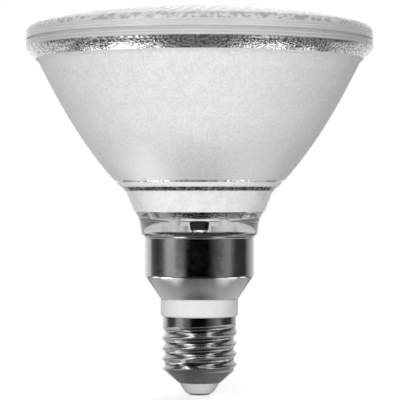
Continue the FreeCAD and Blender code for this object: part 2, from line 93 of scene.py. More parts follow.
def lathe(section, steps=ROUND_STEPS):
    """A bmesh turned from a closed section of (across, up) points in millimetres."""
    bm = bmesh.new()
    verts = [bm.verts.new((across * MM, 0, up * MM)) for across, up in section]
    pairs = zip(verts, verts[1:] + verts[:1])
    edges = [bm.edges.new(pair) for pair in pairs if pair[0].co.x > 0 or pair[1].co.x > 0]
    bmesh.ops.spin(
        bm, geom=verts + edges, cent=(0, 0, 0), axis=(0, 0, 1), angle=math.tau, steps=steps, use_merge=True
    )
    bmesh.ops.remove_doubles(bm, verts=bm.verts, dist=0.001 * MM)
    bmesh.ops.recalc_face_normals(bm, faces=bm.faces)
    return bm


rim_step = math.tau * radius("reflector_bowl") / ROUND_STEPS
print("a section is spun in", ROUND_STEPS, "steps of", round(rim_step, 2), "mm at the rim")

# %% [markdown]
# Pressed glass and spun metal have no knife edges. A bevel modifier would round every edge by one
# amount, so the bevel operator is used on picked rings instead, each with its own width. An arc helper
# draws the longer swells of a section, such as the shoulder of the lens.


# %% Round corners and arcs
def soften(bm, corners, width, segments=3):
    """Round the turned edges that run through the given (across, up) corners."""
    edges = []
    for edge in bm.edges:
        ends = [(math.hypot(v.co.x, v.co.y) / MM, v.co.z / MM) for v in edge.verts]
        for across, up in corners:
            if all(abs(r - across) < 0.02 and abs(z - up) < 0.02 for r, z in ends):
                edges.append(edge)
    bmesh.ops.bevel(
        bm, geom=edges, offset=width * MM, segments=segments, profile=0.5, affect="EDGES", material=-1
    )


def arc(start, stop, bulge, count=8):
    """The points between two corners on an arc that swells by bulge, both corners left out."""
    (x0, z0), (x1, z1) = start, stop
    chord = math.hypot(x1 - x0, z1 - z0)
    size = (chord**2 / 4 + bulge**2) / (2 * abs(bulge))
    half = math.asin(min(chord / 2 / size, 1))
    out = Vector((z1 - z0, -(x1 - x0))).normalized() * (1 if bulge > 0 else -1)
    centre = Vector(((x0 + x1) / 2, (z0 + z1) / 2)) + out * (abs(bulge) - size)
    along = Vector((x1 - x0, z1 - z0)).normalized()
    angles = [-half + 2 * half * step / count for step in range(1, count)]
    points = [centre + out * size * math.cos(angle) + along * size * math.sin(angle) for angle in angles]
    return [(point.x, point.y) for point in points]


print("a swell of 1 on a chord of 10:", [round(up, 2) for across, up in arc((0, 0), (10, 0), -1, 4)])

# %% [markdown]
# A finished piece needs four things besides its mesh: its materials, smooth shading with crisp corners
# where two faces meet at a steep angle, the body that it rides on, and the frame piece that it stands
# for. One helper does them all, so that no piece is left untied.


# %% From a bmesh to a piece of the bulb
CRISP_ANGLE = math.radians(32)


def finished(bm, name, materials, slot, *stands_for):
    """Make the object, shade it and tie it to the frame."""
    mesh = bpy.data.meshes.new(name)
    bm.to_mesh(mesh)
    bm.free()
    for material in materials:
        mesh.materials.append(material)
    mesh.shade_smooth()
    mesh.set_sharp_from_angle(angle=CRISP_ANGLE)
    piece = bpy.data.objects.new(name, mesh)
    bpy.context.scene.collection.objects.link(piece)
    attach(piece, "root")
    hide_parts(*stands_for)
    print(name, len(mesh.polygons), "faces")


# %% [markdown]
# ## Finishes
# Every look below is wired from a few small nodes, and short helpers place them: a sum, a mask that
# rises between two levels, a mix of two colours, the axes of a point, an empty group and a noise. A
# value is a number or another node's output, and one number also stands for a grey.


# %% Small helpers for wiring nodes
def math_node(tree, operation, *values, clamp=False):
    """One Math node. Each value is a number or another node's output."""
    node = tree.nodes.new("ShaderNodeMath")
    node.operation = operation
    node.use_clamp = clamp
    for socket, value in zip(node.inputs, values):
        if isinstance(value, float):
            socket.default_value = value
        else:
            tree.links.new(value, socket)
    return node.outputs["Value"]


def step_between(tree, value, low, high, start=0.0, stop=1.0):
    """A smooth step from start, where the value is at low, to stop, where it is at high."""
    rise = tree.nodes.new("ShaderNodeMapRange")
    rise.interpolation_type = "SMOOTHSTEP"
    rise.inputs["From Min"].default_value = low
    rise.inputs["From Max"].default_value = high
    rise.inputs["To Min"].default_value = start
    rise.inputs["To Max"].default_value = stop
    tree.links.new(value, rise.inputs["Value"])
    return rise.outputs["Result"]


def rgba(tone):
    """The four numbers of a colour socket, from one grey level or from three channels."""
    return (tone, tone, tone, 1) if isinstance(tone, float) else (*tone, 1)


def colour_mix(tree, under, over, share):
    """Lay one grey or colour over another by a share from 0 to 1."""
    mix = tree.nodes.new("ShaderNodeMix")
    mix.data_type = "RGBA"
    tree.links.new(share, mix.inputs["Factor"])
    for socket, side in (("A", under), ("B", over)):
        if isinstance(side, (float, tuple)):
            mix.inputs[socket].default_value = rgba(side)
        else:
            tree.links.new(side, mix.inputs[socket])
    return mix.outputs["Result"]


def axes_of(tree, coordinate="Object"):
    """The X, Y and Z of a point on the piece or, with Generated in the world, of a ray's direction."""
    where = tree.nodes.new("ShaderNodeTexCoord")
    split = tree.nodes.new("ShaderNodeSeparateXYZ")
    tree.links.new(where.outputs[coordinate], split.inputs["Vector"])
    return split.outputs


def new_group(name, **settings):
    """An empty shader group with named settings in, each with its default, and one mask out."""
    group = bpy.data.node_groups.new(name, "ShaderNodeTree")
    for label, default in settings.items():
        socket = group.interface.new_socket(name=label, in_out="INPUT", socket_type="NodeSocketFloat")
        socket.default_value = default
    group.interface.new_socket(name="Mask", in_out="OUTPUT", socket_type="NodeSocketFloat")
    return group, group.nodes.new("NodeGroupInput"), group.nodes.new("NodeGroupOutput")


def noise(group, scale, detail):
    """A noise on the piece's own coordinates, so that it stays with the piece."""
    where = group.nodes.new("ShaderNodeTexCoord")
    made = group.nodes.new("ShaderNodeTexNoise")
    made.inputs["Detail"].default_value = detail
    group.links.new(where.outputs["Object"], made.inputs["Vector"])
    if isinstance(scale, float):
        made.inputs["Scale"].default_value = scale
    else:
        group.links.new(scale, made.inputs["Scale"])
    return made.outputs["Fac"]


print("helpers ready for", bpy.app.version_string)

# %% [markdown]
# Pressed glass is never quite flat: the mould leaves a faint ripple. The same ripple, at another scale,
# dents thin metal and mottles cement, so it is one node group that every material places with its own
# numbers. Two noises make it, a fine one and a broad one, and Share says how much of it is broad.


# %% The grain group
def grain_group():
    """Noise at two scales, as a mask from 0 to 1."""
    group, inward, outward = new_group("surface grain", Fine=900.0, Broad=60.0, Share=0.5)
    mix = group.nodes.new("ShaderNodeMix")
    group.links.new(inward.outputs["Share"], mix.inputs["Factor"])
    group.links.new(noise(group, inward.outputs["Fine"], 3.0), mix.inputs["A"])
    group.links.new(noise(group, inward.outputs["Broad"], 3.0), mix.inputs["B"])
    group.links.new(mix.outputs["Result"], outward.inputs["Mask"])
    return group


GRAIN = grain_group()
print(GRAIN.name, "has", len(GRAIN.nodes), "nodes")

# %% [markdown]
# Near the rim and the neck the mirror film lies on glass that a blasted mould has pitted, and it
# sparkles as small black and white spots. The pits are a bump, and the sparkle is painted glints: dark
# and light spots in the film's colour. A Voronoi texture would give rounder cells, but the real
# spots run together, so a plain noise is cut sharply into dark and light.


# %% The stipple group, pits and painted glints
def pits_and_glints_group():
    """The grit that a blasted mould leaves, as small dark and light spots: a bump, and painted glints in
    colour.
    """
    group, inward, outward = new_group("mould pits and painted glints", Scale=1000.0)
    spots = step_between(group, noise(group, inward.outputs["Scale"], 1.0), 0.4, 0.6)
    group.links.new(spots, outward.inputs["Mask"])
    return group


PITS_AND_GLINTS = pits_and_glints_group()
print(PITS_AND_GLINTS.name, "has", len(PITS_AND_GLINTS.nodes), "nodes")

# %% [markdown]
# The edge of the lens carries three pressed patterns, one above the other: fine rings round the rim,
# a knobbly band on the shoulder, and slanted marks like a rope where the dome begins. Cut deep into the
# mesh they would cost a great many faces, so most of each is colour and bump. The rings follow the height,
# the rope follows the angle round the axis plus the distance from it, and the height picks which one
# shows. The lens repeats the rings and the rope as low relief, so their spacing is named here: the marks
# in one turn, and how far the wave of each runs in a millimetre.


# %% The rope marks and rings of the lens edge
ROPE_MARKS, ROPE_SLANT, RING_WAVE = 90.0, 0.48, 7.0


def rope_marks(group, axes, marks):
    """Slanted marks round the axis, from 0 to 1."""
    x, y = axes["X"], axes["Y"]
    around = math_node(group, "ARCTAN2", y, x)
    squares = math_node(group, "ADD", math_node(group, "MULTIPLY", x, x), math_node(group, "MULTIPLY", y, y))
    across = math_node(group, "SQRT", squares)
    slant = math_node(group, "MULTIPLY", across, ROPE_SLANT / MM)
    slanted = math_node(group, "ADD", math_node(group, "MULTIPLY", around, marks), slant)
    return math_node(group, "MULTIPLY_ADD", math_node(group, "SINE", slanted), 0.5, 0.5)


def rings(group, height):
    """Fine rings, one every 0.9 mm of height, from 0.4 to 1."""
    wave = math_node(group, "SINE", math_node(group, "MULTIPLY", height, RING_WAVE / MM))
    return math_node(group, "MULTIPLY_ADD", wave, 0.3, 0.7)


def between_masks(group, low, high, share):
    """Pass from one mask to another."""
    mix = group.nodes.new("ShaderNodeMix")
    group.links.new(share, mix.inputs["Factor"])
    group.links.new(low, mix.inputs["A"])
    group.links.new(high, mix.inputs["B"])
    return mix.outputs["Result"]


print("the rings stand", round(math.tau / RING_WAVE, 2), "mm apart")


# %% The pressing group
KNOB_SCALE, KNOB_CUT = 620.0, (0.42, 0.58)
RINGS_TO_KNOBS, KNOBS_TO_ROPE = (0.1260, 0.1265), (0.1284, 0.1290)


def pressing_group():
    """Rings below, knobs on the shoulder, rope marks above."""
    group, inward, outward = new_group("lens pressing", Marks=ROPE_MARKS)
    axes = axes_of(group)
    knobs = step_between(group, noise(group, KNOB_SCALE, 1.0), *KNOB_CUT)
    on_shoulder = step_between(group, axes["Z"], *RINGS_TO_KNOBS)
    band = between_masks(group, rings(group, axes["Z"]), knobs, on_shoulder)
    rope = rope_marks(group, axes, inward.outputs["Marks"])
    on_dome = step_between(group, axes["Z"], *KNOBS_TO_ROPE)
    group.links.new(between_masks(group, band, rope, on_dome), outward.inputs["Mask"])
    return group


PRESSING = pressing_group()
print(PRESSING.name, "has", len(PRESSING.nodes), "nodes")

# %% [markdown]
# A material here is a Principled shader whose plain numbers sit on its own sockets. The grain mask does
# the rest: it shifts the colour a little between two tones, opens or closes the gloss, and lifts a bump.


# %% A material from a few plain words
GRAIN_CUT = (0.35, 0.65)


def bump_from(tree, mask, strength, deep):
    """Lift the surface by a mask. deep is in millimetres."""
    lift = tree.nodes.new("ShaderNodeBump")
    lift.inputs["Strength"].default_value = strength
    lift.inputs["Distance"].default_value = deep * MM
    tree.links.new(mask, lift.inputs["Height"])
    tree.links.new(lift.outputs["Normal"], tree.nodes["Principled BSDF"].inputs["Normal"])


def place_grain(tree, fine, broad, share):
    """Put the grain group in a material with its own numbers, and hand back its mask."""
    grain = tree.nodes.new("ShaderNodeGroup")
    grain.node_tree = GRAIN
    grain.inputs["Fine"].default_value = fine
    grain.inputs["Broad"].default_value = broad
    grain.inputs["Share"].default_value = share
    return grain.outputs["Mask"]


def finish_of(
    name, tone, tone_low=None, rough=(0.3, 0.3), fine=900.0, broad=60.0, share=0.5, bump=0.0, deep=0.05,
    **plain,
):
    """A Principled material. rough is the roughness where the mask is low and where it is high."""
    material = bpy.data.materials.new(name)
    material.use_nodes = True
    tree = material.node_tree
    shader = tree.nodes["Principled BSDF"]
    mask = place_grain(tree, fine, broad, share)
    shader.inputs["Base Color"].default_value = rgba(tone)
    if tone_low:
        colour = colour_mix(tree, tone_low, tone, step_between(tree, mask, *GRAIN_CUT))
        tree.links.new(colour, shader.inputs["Base Color"])
    shader.inputs["Roughness"].default_value = rough[0]
    if rough[0] != rough[1]:
        tree.links.new(step_between(tree, mask, *GRAIN_CUT, *rough), shader.inputs["Roughness"])
    if bump:
        bump_from(tree, mask, bump, deep)
    for socket, number in plain.items():
        shader.inputs[socket.replace("_", " ")].default_value = number
    return material


def pattern_and_glint_tone(material, group, setting, dark, light, bump, deep):
    """Let a group's mask choose between two greys of a material, and lift a bump with it. On the mirror film
    the greys are painted glints.
    """
    tree = material.node_tree
    pattern = tree.nodes.new("ShaderNodeGroup")
    pattern.node_tree = group
    pattern.inputs[0].default_value = setting
    grey = colour_mix(tree, dark, light, pattern.outputs["Mask"])
    tree.links.new(grey, tree.nodes["Principled BSDF"].inputs["Base Color"])
    bump_from(tree, pattern.outputs["Mask"], bump, deep)


print("a finish has", len(finish_of("trial", 0.5, bump=0.1).node_tree.nodes), "nodes")
bpy.data.materials.remove(bpy.data.materials["trial"])

# %% [markdown]
# Clear glass is a Principled shader with its Transmission at 1 and the index of its kind: 1.47 for the
# hard glass of the reflector, 1.458 for the quartz of the capsule. The ripple bends what shows through
# it, a little for the pressed neck and hardly at all for the drawn capsule.

# %% Clear glass and quartz
clear_glass = finish_of(
    "clear pressed glass", (0.97, 0.98, 0.975), (0.95, 0.965, 0.96), rough=(0.0, 0.02), fine=500, broad=90,
    share=0.8, bump=0.12, deep=0.1, Transmission_Weight=1.0, IOR=1.47,
)
quartz = finish_of(
    "quartz", (0.98, 0.98, 0.99), rough=(0.0, 0.01), fine=300, broad=80, share=0.9, bump=0.1,
    Transmission_Weight=1.0, IOR=1.458,
)
print("clear glass:", clear_glass.name, "and", quartz.name)

# %% [markdown]
# The outside of the bowl is etched, so it looks like white frost over the mirror film. True frosted
# glass over a film takes many bounces of light, and a matt white shader gives the same face at once.
# Towards the neck the frost is thinner, and the film behind it gives a metal gleam, so the Metallic
# rises there with falling height.

# %% Etched glass
etched_glass = finish_of(
    "etched glass", (0.89, 0.9, 0.9), (0.76, 0.77, 0.77), rough=(0.42, 0.58), fine=1400, broad=220,
    share=0.25, bump=0.6, deep=0.1, IOR=1.47,
)
thin_frost, full_frost, most_gleam = 0.0745, 0.0960, 0.4
tree = etched_glass.node_tree
gleam = step_between(tree, axes_of(tree)["Z"], thin_frost, full_frost, most_gleam, 0.0)
tree.links.new(gleam, tree.nodes["Principled BSDF"].inputs["Metallic"])
print("the frost thins out from", round(full_frost / MM, 1), "mm down to", round(thin_frost / MM, 1), "mm")

# %% [markdown]
# Below the bowl the etch ends in a near-white line, a painted highlight. Over the clear neck lies an
# opaque pale band, a painted reflection of the mirror film behind the glass. A partial Transmission would
# show a little of the film, but a few rays in each pixel would speckle it, so the band is opaque and
# carries its mottling in two tones.

# %% Painted highlight line and painted neck reflection
# A near-white band where the etch ends: a painted highlight.
painted_highlight_line = finish_of(
    "painted highlight line", 0.98, 0.93, rough=(0.4, 0.5), fine=1400, broad=220, share=0.25, bump=0.4, deep=0.08,
    IOR=1.47,
)
# An opaque pale band over the clear neck: a painted reflection of the mirror film.
painted_neck_reflection = finish_of(
    "painted neck reflection", 0.97, 0.84, rough=(0.25, 0.4), broad=260, bump=0.4, deep=0.1, IOR=1.47,
)
print("neck finishes:", painted_highlight_line.name, "and", painted_neck_reflection.name)

# %% [markdown]
# The mirror film is aluminium on the inside of the bowl. It is a metal with almost no roughness whose
# stipple scatters it as a bump and sparkles as painted glints, dark and light spots in its colour. The
# film at the foot is duller. The band under the rim is clear glass over the film, and reads as one bright
# stippled metal with the same painted glints, so it is made as that, with a part of glass kept.

# %% Mirror film
mirror_coat = finish_of("mirror coating", 0.9, rough=(0.05, 0.12), fine=1150, broad=420, Metallic=1.0)
# The stipple's dark and light spots in the film's colour are painted glints.
pattern_and_glint_tone(mirror_coat, PITS_AND_GLINTS, 900.0, 0.3, 0.95, bump=1.0, deep=0.1)
mirror_foot = finish_of(
    "dull foot of the mirror", 0.95, 0.88, rough=(0.45, 0.6), fine=1500, broad=300, share=0.3, bump=0.3,
    deep=0.08,
)
silvered_rim = finish_of("silvered rim", 0.93, rough=(0.06, 0.12), Metallic=0.85, IOR=1.47)
# Here too the stipple's dark and light spots in the colour are painted glints.
pattern_and_glint_tone(silvered_rim, PITS_AND_GLINTS, 1300.0, 0.38, 1.0, bump=0.5, deep=0.06)
# Near-black for the spigot's bore and the upper tube: a painted dark reflection.
painted_dark_reflection = finish_of("painted dark reflection in the spigot", 0.03, 0.015, rough=(0.5, 0.8), bump=0.3)
print("mirror finishes:", mirror_coat.name, mirror_foot.name, silvered_rim.name, painted_dark_reflection.name)

# %% [markdown]
# The lens is clear in its field and cloudier at its edge, where the pressing is thick and patterned.

# %% Lens glass
lens_glass = finish_of(
    "patterned lens glass", (0.96, 0.97, 0.97), (0.9, 0.91, 0.91), rough=(0.0, 0.04), fine=600, broad=200,
    bump=0.5, deep=0.12, Transmission_Weight=0.92, IOR=1.47,
)
lens_edge_glass = finish_of("lens edge glass", 0.95, rough=(0.02, 0.1), Transmission_Weight=0.4, IOR=1.47)
pattern_and_glint_tone(lens_edge_glass, PRESSING, ROPE_MARKS, 0.62, 1.0, bump=0.5, deep=0.08)
print("lens finishes:", lens_glass.name, "and", lens_edge_glass.name)

# %% [markdown]
# The bright metals differ in tone and in how far their polish has gone: the sleeve is spun and lightly
# brushed, the base is nickel plated. Their colour comes from the room that they mirror, so only the
# roughness and a shallow dent need care. The ferrules are paler and too dull to mirror anything, so they
# do without Metallic.

# %% Bright metals
sleeve_metal = finish_of(
    "spun sleeve metal", 0.66, 0.58, rough=(0.1, 0.2), fine=700, broad=90, bump=0.08, Metallic=1.0,
)
base_metal = finish_of(
    "nickel plated base", (0.6, 0.6, 0.59), (0.5, 0.5, 0.49), rough=(0.1, 0.22), fine=700, broad=120,
    bump=0.15, deep=0.06, Metallic=1.0,
)
ferrule_metal = finish_of("drawn ferrule metal", (0.98, 0.98, 0.97), 0.92, rough=(0.35, 0.45), bump=0.1)
print("bright metals:", sleeve_metal.name, base_metal.name, ferrule_metal.name)

# %% [markdown]
# The wires, the solder and the contact are duller. The contact is nearly black, the solder
# greyer and lumpier, and copper is the only warm tone on the bulb.

# %% Dull metals and wires
contact_metal = finish_of("dull contact metal", 0.07, 0.04, rough=(0.3, 0.5), Metallic=1.0, bump=0.2)
solder_metal = finish_of(
    "solder", (0.45, 0.45, 0.46), (0.3, 0.3, 0.31), rough=(0.3, 0.5), Metallic=1.0, bump=0.3,
)
wire_metal = finish_of(
    "nickel wire", (0.7, 0.69, 0.67), (0.55, 0.54, 0.52), rough=(0.2, 0.35), Metallic=1.0, bump=0.1,
)
copper = finish_of(
    "copper wire", (0.72, 0.42, 0.28), (0.6, 0.34, 0.22), rough=(0.25, 0.4), Metallic=1.0, bump=0.1,
)
tungsten = finish_of(
    "tungsten", (0.42, 0.42, 0.44), (0.3, 0.3, 0.32), rough=(0.35, 0.5), Metallic=1.0, bump=0.1,
)
print("dull metals:", contact_metal.name, solder_metal.name, wire_metal.name, copper.name, tungsten.name)

# %% [markdown]
# The ring is glazed ceramic, so it keeps a soft shine. The insulator is greyer, the cement is matt and
# dark, and the sleeving on the live wire is woven from glass fibre.

# %% Ceramic, cement and sleeving
white_ceramic = finish_of(
    "white ceramic", (0.84, 0.84, 0.83), (0.79, 0.79, 0.78), rough=(0.35, 0.5), fine=500, share=0.6,
    bump=0.08, deep=0.04,
)
grey_insulator = finish_of("pale grey insulator", 0.71, 0.63, rough=(0.35, 0.5), bump=0.08, deep=0.04)
seal_bead = finish_of("seal bead", 0.62, 0.45, rough=(0.4, 0.6), fine=1500, share=0.3, bump=0.3)
cement = finish_of("cement", 0.12, 0.05, rough=(0.7, 0.9), fine=1200, share=0.4, bump=0.6, deep=0.1)
sleeving = finish_of(
    "glass fibre sleeving", (0.85, 0.84, 0.8), (0.72, 0.71, 0.67), rough=(0.6, 0.8), fine=2200, share=0.2,
    bump=0.5,
)
print("materials so far:", len(bpy.data.materials))

# %% [markdown]
# ## The glass reflector
# The reflector is pressed in one piece: a rim, a deep bowl, a thick neck and a hollow spigot below it.
# Its inside follows a parabola, so that light from the filament leaves it in one beam, and its outside
# keeps a wall of about 4 mm. The measures come from the frame's own heights and widths.

# %% Reflector measures
seam = top("reflector_bowl")
shoulder = top("skirt_sleeve")
rim_radius = radius("reflector_bowl")
rim_land, rim_band, rim_flare, rim_flare_height, rim_chamfer = 3.7, 3.35, 4.65, 4.15, 0.4
mirror_vertex = shoulder + 6.6
mirror_edge = rim_radius - rim_land
mirror_spread = mirror_edge**2 / (seam - mirror_vertex)
mirror_floor_radius, bowl_wall = 9.5, 4.25
mirror_floor = mirror_vertex + mirror_floor_radius**2 / mirror_spread
crease = seam - rim_band - rim_flare_height
crease_radius = rim_radius - rim_flare
bowl_foot = shoulder + 15.0
bowl_foot_radius = math.sqrt(mirror_spread * (bowl_foot - mirror_vertex)) + bowl_wall
bowl_spread = (crease_radius**2 - bowl_foot_radius**2) / (crease - bowl_foot)
bowl_vertex = crease - crease_radius**2 / bowl_spread
print("the mirror's focus stands", round(mirror_vertex + mirror_spread / 4, 1), "mm above the contact")

# %% [markdown]
# Each finish of the glass begins at a height of its own. These heights are named here once. Those of
# the outside are corners of the section too, so that a finish there ends exactly on an edge of the mesh.

# %% Where each finish begins
clear_rim_foot = seam - 2.4
frost_top = crease + 1.1
frost_edge_radius = crease_radius + rim_flare * (frost_top - crease) / rim_flare_height
grit_top, thin_foot, frost_foot, neck_reflection_top = 74.8, 74.1, 72.6, 71.2
neck_reflection_foot = shoulder + 8.45
dull_foot, dull_top = 66.3, 70.4
print("frost from", frost_foot, "to", round(frost_top, 1), "and a clear rim from", round(clear_rim_foot, 1))

# %% [markdown]
# Under the mirror the glass is a thick floor. Its middle is hollowed by the tube through which the bulb
# was emptied and filled. The spigot's bore and the upper part of the tube are painted near-black: a
# painted dark reflection of the studio's dark front.

# %% Neck, spigot and tube
floor_underside = shoulder + 2.0
tube_top = shoulder + 7.4
# From this height up, the tube's wall is a painted dark reflection.
tube_painted_dark_foot = floor_underside + 1.2
tube_radius = 2.4
tube_edge = tube_radius + 0.05
level_reach = 15
spigot_radius = radius("neck_cement") - 0.35
spigot_bore = spigot_radius - 3.0
spigot_foot = foot("reflector_bowl")
# Below this height the spigot's bore is a painted dark reflection.
painted_dark_top = shoulder + 1.8


def parabola(spread, vertex, start_up, stop_up, count):
    """Section points on across^2 = spread * (up - vertex), evenly spaced across, both ends left out."""
    start, stop = (math.sqrt(spread * (up - vertex)) for up in (start_up, stop_up))
    across = [start + (stop - start) * step / count for step in range(1, count)]
    return [(r, vertex + r * r / spread) for r in across]


def outside_bowl(up):
    """The corner of the section where the bowl's outside passes a height."""
    return math.sqrt(bowl_spread * (up - bowl_vertex)), up


flare_foot = (20.95, shoulder + 5.7)
seat_corners = [(20.35, shoulder + 0.9), (19.6, shoulder)]
neck = [
    (bowl_foot_radius, bowl_foot), (22.95, shoulder + 9.0), (22.62, neck_reflection_foot), flare_foot, *seat_corners,
    (spigot_radius, shoulder),
]
underside = [
    (spigot_radius, spigot_foot), (spigot_bore, spigot_foot), (spigot_bore, painted_dark_top),
    (spigot_bore, floor_underside), (tube_radius - 0.8, floor_underside), (tube_radius - 0.3, tube_painted_dark_foot),
    (tube_radius, tube_top - 1.4), (tube_radius - 0.35, tube_top - 0.35), (tube_radius - 1.2, tube_top),
    (0, tube_top),
]
print("neck corners:", len(neck), "and underside corners:", len(underside))

# %% [markdown]
# The whole section goes round in one spin. Then the corners that a mould rounds are softened: the rim's
# lower edge, the crease under it, the foot of the neck's flare, and the shoulder on the sleeve's lip.

# %% Reflector mesh
section = [
    (mirror_edge, seam), (rim_radius - rim_chamfer, seam), (rim_radius, seam - rim_chamfer),
    (rim_radius, clear_rim_foot), (rim_radius, seam - rim_band), (frost_edge_radius, frost_top),
    (crease_radius, crease), *parabola(bowl_spread, bowl_vertex, crease, grit_top, 40),
    *[outside_bowl(up) for up in (grit_top, thin_foot, frost_foot, neck_reflection_top)],
    *neck, *underside, (0, mirror_floor), (mirror_floor_radius, mirror_floor),
    *parabola(mirror_spread, mirror_vertex, mirror_floor, seam, 64),
]
bowl = lathe(section)
soften(bowl, [(rim_radius, seam - rim_band)], width=0.8)
soften(bowl, [(crease_radius, crease)], width=0.5)
soften(bowl, [flare_foot], width=1.2)
soften(bowl, seat_corners, width=0.35)
print("reflector section:", len(section), "corners")

# %% [markdown]
# One mesh carries nine finishes. A face takes its finish from how far out and how high it lies, and
# from whether it looks inwards. Painting masks could do it too, but the edges here are as crisp as
# those of a masked etch.

# %% Reflector finishes
ZONES = [
    clear_glass, etched_glass, mirror_coat, mirror_foot, painted_highlight_line, painted_dark_reflection, silvered_rim, painted_neck_reflection,
    lens_edge_glass,
]


def inside_finish(out, up):
    """The finish of a face that looks into the mirror, the spigot or the tube."""
    if up > mirror_floor - 0.1:
        return mirror_foot if dull_foot < up < dull_top else mirror_coat
    # The upper tube and the spigot's low bore take the painted dark reflection.
    if out < tube_edge and up > tube_painted_dark_foot:
        return painted_dark_reflection
    return painted_dark_reflection if up < painted_dark_top else clear_glass


def outside_finish(up):
    """The finish of a face that looks outwards, by its height."""
    # The painted highlight line and the painted neck reflection take their bands of height here.
    steps = [
        (clear_rim_foot, lens_edge_glass), (frost_top, silvered_rim), (grit_top, etched_glass),
        (thin_foot, silvered_rim), (frost_foot, painted_highlight_line), (neck_reflection_top, clear_glass),
        (neck_reflection_foot, painted_neck_reflection),
    ]
    for height, finish in steps:
        if up > height:
            return finish
    return clear_glass


def looks_in(normal, middle, out):
    """Whether a face looks into the mirror, the spigot or the tube. The rim's land under the lens doesn't."""
    level = abs(normal.z) > 0.9 and out < level_reach
    towards_axis = normal.x * middle.x + normal.y * middle.y < 0
    return (towards_axis or level or out < tube_edge) and middle.z < seam - 0.05


for face in bowl.faces:
    middle = face.calc_center_median() / MM
    out = math.hypot(middle.x, middle.y)
    inside = looks_in(face.normal, middle, out)
    finish = inside_finish(out, middle.z) if inside else outside_finish(middle.z)
    face.material_index = ZONES.index(finish)
finished(bowl, "pressed_reflector", ZONES, "reflector_glass", "reflector_bowl")

# %% [markdown]
# ## The lens
# The lens is a shallow dome with small round lenslets pressed into its inner face. A flat grid is bent
# onto a disc, so its cells stay nearly the same size from the middle to the edge, and each lenslet
# gets the same number of them.

# %% Lens measures
lens_foot = foot("front_lens")
lens_apex = top("front_lens")
lens_band_top = lens_foot + 2.6
lens_edge = lens_band_top + 2.5
lens_shoulder = rim_radius - 3.3
lens_thickness = 3.2
lens_rise = lens_apex - lens_edge
dome = (lens_shoulder**2 + lens_rise**2) / (2 * lens_rise)
inner_dome = dome - lens_thickness
inner_radius = mirror_edge - 0.5
pressed_edge = 44.5
lenslet_pitch, lenslet_curve, lenslet_field = 3.5, 4.6, 54.0
CELLS = 190
print("the dome is part of a ball of radius", round(dome), "mm")


# %% A grid bent onto a disc
def disc(bm, reach, height):
    """A round grid disc of that reach whose points stand at height(x, y). It returns its border edges."""
    made = bmesh.ops.create_grid(bm, x_segments=CELLS, y_segments=CELLS, size=1.0)["verts"]
    for vert in made:
        x, y = vert.co.x, vert.co.y
        across = x * math.sqrt(1 - y * y / 2) * reach
        along = y * math.sqrt(1 - x * x / 2) * reach
        vert.co = Vector((across, along, height(across, along))) * MM
    new = set(made)
    return [e for e in bm.edges if e.is_boundary and e.verts[0] in new]


def dome_height(size, x, y):
    """The height of a ball of that size over a place, when its top is under the lens's apex."""
    return lens_apex - dome + math.sqrt(size**2 - x * x - y * y)


print("a lens disc has", CELLS * CELLS, "points")

# %% [markdown]
# The lenslets lie on a hexagonal net, like the cells of a honeycomb, which packs round caps closest.
# Each point of the inner face looks for its nearest cap in its own row and the two rows beside it.


# %% Lenslets
def nearest_cap(x, y):
    """How far a place lies from the middle of its nearest lenslet."""
    row_step = lenslet_pitch * math.sqrt(3) / 2
    nearest = lenslet_pitch
    for row in range(round(y / row_step) - 1, round(y / row_step) + 2):
        shift = lenslet_pitch / 2 if row % 2 else 0.0
        column = round((x - shift) / lenslet_pitch)
        nearest = min(nearest, math.hypot(x - column * lenslet_pitch - shift, y - row * row_step))
    return nearest


def lenslet_rise(x, y):
    """How far the lenslets stand in from the dome's inner face at a place."""
    if math.hypot(x, y) > lenslet_field:
        return 0.0
    rise = (lenslet_pitch / math.sqrt(3)) ** 2 - nearest_cap(x, y) ** 2
    return max(rise, 0.0) / (2 * lenslet_curve)


print("a lenslet is", round(lenslet_rise(0, 0), 2), "mm high")

# %% [markdown]
# The outer face is smooth in the middle. Beyond it stand the slanted marks that the pressing group
# colours, here as low ridges on the same lines, and round the edge run its rings.


# %% Ridges and rings
half_relief, fade_width = 0.07, 1.5


def share_of(part, whole):
    """How much of a whole a part makes up, from 0 to 1."""
    return min(max(part / whole, 0), 1)


def rope_rise(x, y):
    """How high the slanted ridges stand on the outer face at a place."""
    across = math.hypot(x, y)
    fade = share_of(across - pressed_edge, fade_width) * share_of(lens_shoulder - across, fade_width)
    return half_relief * fade * (1 + math.sin(ROPE_MARKS * math.atan2(y, x) + ROPE_SLANT * across))


def ring_profile(stop, count=16):
    """The edge of the lens from its band's top down to a height, with a ring every 0.9 mm."""
    ups = [lens_band_top + (stop - lens_band_top) * step / count for step in range(1, count)]
    return [(rim_radius - half_relief * (1 - math.cos(RING_WAVE * (lens_band_top - up))), up) for up in ups]


print("the ridges are", round(max(rope_rise(50, y / 5) for y in range(20)), 2), "mm high")

# %% [markdown]
# The two discs, outer and inner, are joined by pulling the outer border down round the lens's edge,
# one ring at a time, until it meets the inner border. Bridging the two borders in one go would leave
# the rounded shoulder out.

